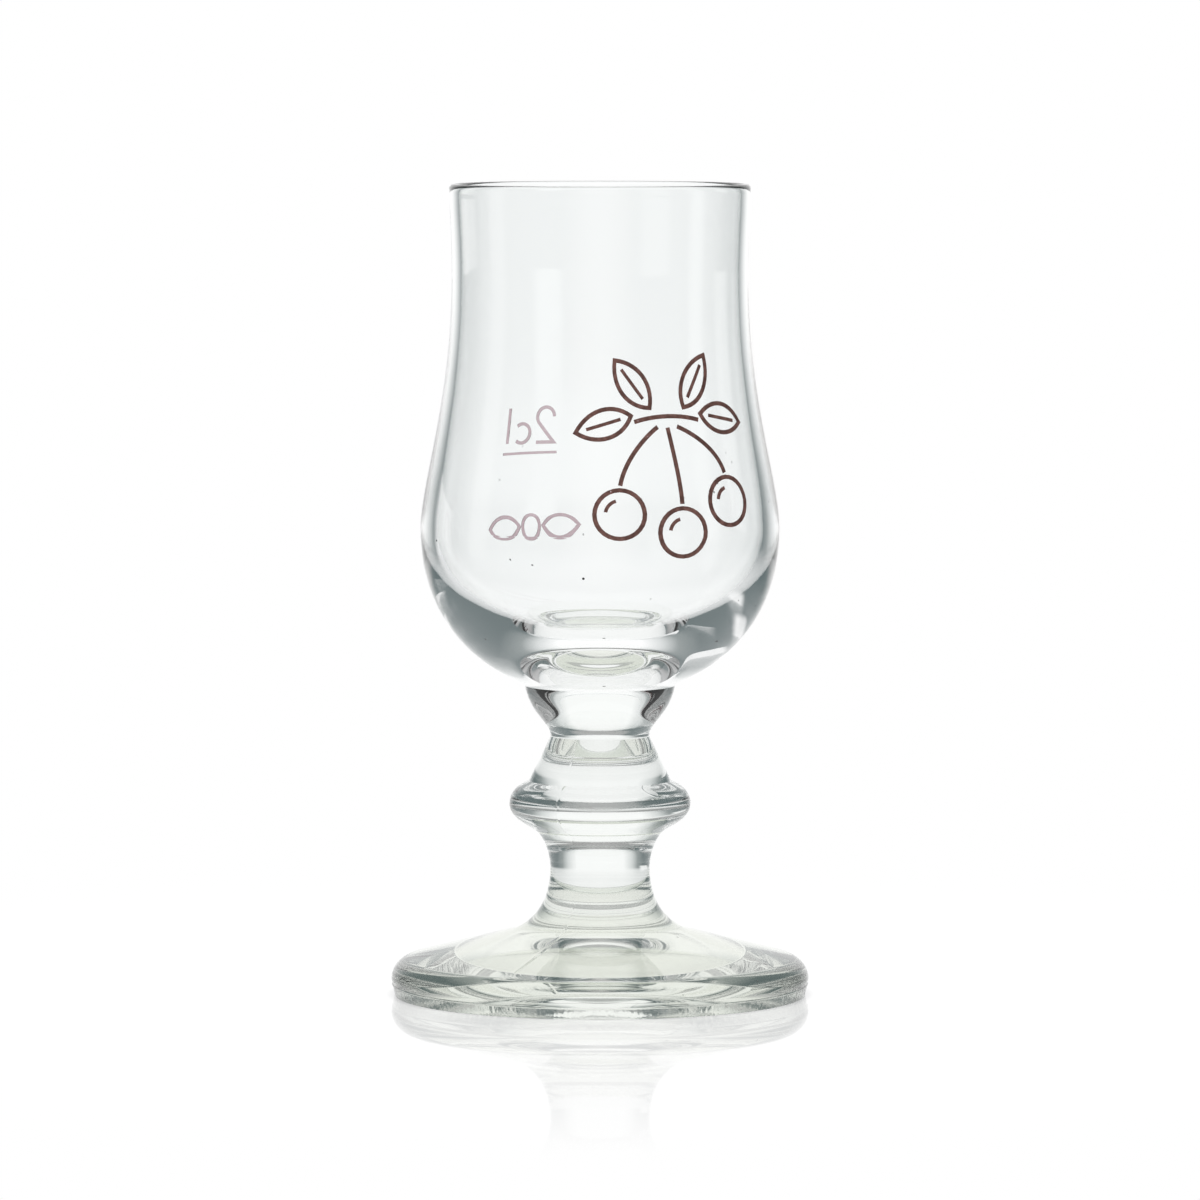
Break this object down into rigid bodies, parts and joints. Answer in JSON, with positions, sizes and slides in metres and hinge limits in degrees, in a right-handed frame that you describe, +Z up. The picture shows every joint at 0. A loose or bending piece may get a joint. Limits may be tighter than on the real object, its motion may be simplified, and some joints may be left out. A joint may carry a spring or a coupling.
{
  "type": "stemmed shot glass",
  "caption": "Clear stemmed shot glass: thick-based tulip bowl on a collar, ringed knop and short stem over a round foot, with an enamel measure mark and fruit sprig.",
  "frame": {"origin": "on the glass's axis, on the surface that its foot stands on", "axes": "+Z up along the axis from foot to rim; -Y faces the viewer and carries the fruit sprig, +X is to the viewer's right"},
  "size_m": [0.0496, 0.0496, 0.0962],
  "materials": {
    "clear_glass": "clear fire-polished soda-lime glass with fine wear on the foot",
    "maroon_enamel": "thin screen-printed enamel, fired on, satin with pinholes"
  },
  "bodies": {
    "root": {"foot": "clear_glass", "stem": "clear_glass", "knop": "clear_glass", "collar": "clear_glass", "bowl": "clear_glass", "fill_line": "maroon_enamel", "mark_2": "maroon_enamel", "mark_c": "maroon_enamel", "mark_l": "maroon_enamel", "sprig_twig": "maroon_enamel", "sprig_stalk_1": "maroon_enamel", "sprig_stalk_2": "maroon_enamel", "sprig_stalk_3": "maroon_enamel", "sprig_fruit_1": "maroon_enamel", "sprig_fruit_2": "maroon_enamel", "sprig_fruit_3": "maroon_enamel", "sprig_glint_1": "maroon_enamel", "sprig_glint_2": "maroon_enamel", "sprig_glint_3": "maroon_enamel", "sprig_leaf_1": "maroon_enamel", "sprig_leaf_2": "maroon_enamel", "sprig_leaf_3": "maroon_enamel", "sprig_leaf_4": "maroon_enamel", "sprig_rib_1": "maroon_enamel", "sprig_rib_2": "maroon_enamel", "sprig_rib_3": "maroon_enamel", "sprig_rib_4": "maroon_enamel", "back_berry": "maroon_enamel", "back_leaf_left": "maroon_enamel", "back_leaf_right": "maroon_enamel"}
  },
  "joints": []
}
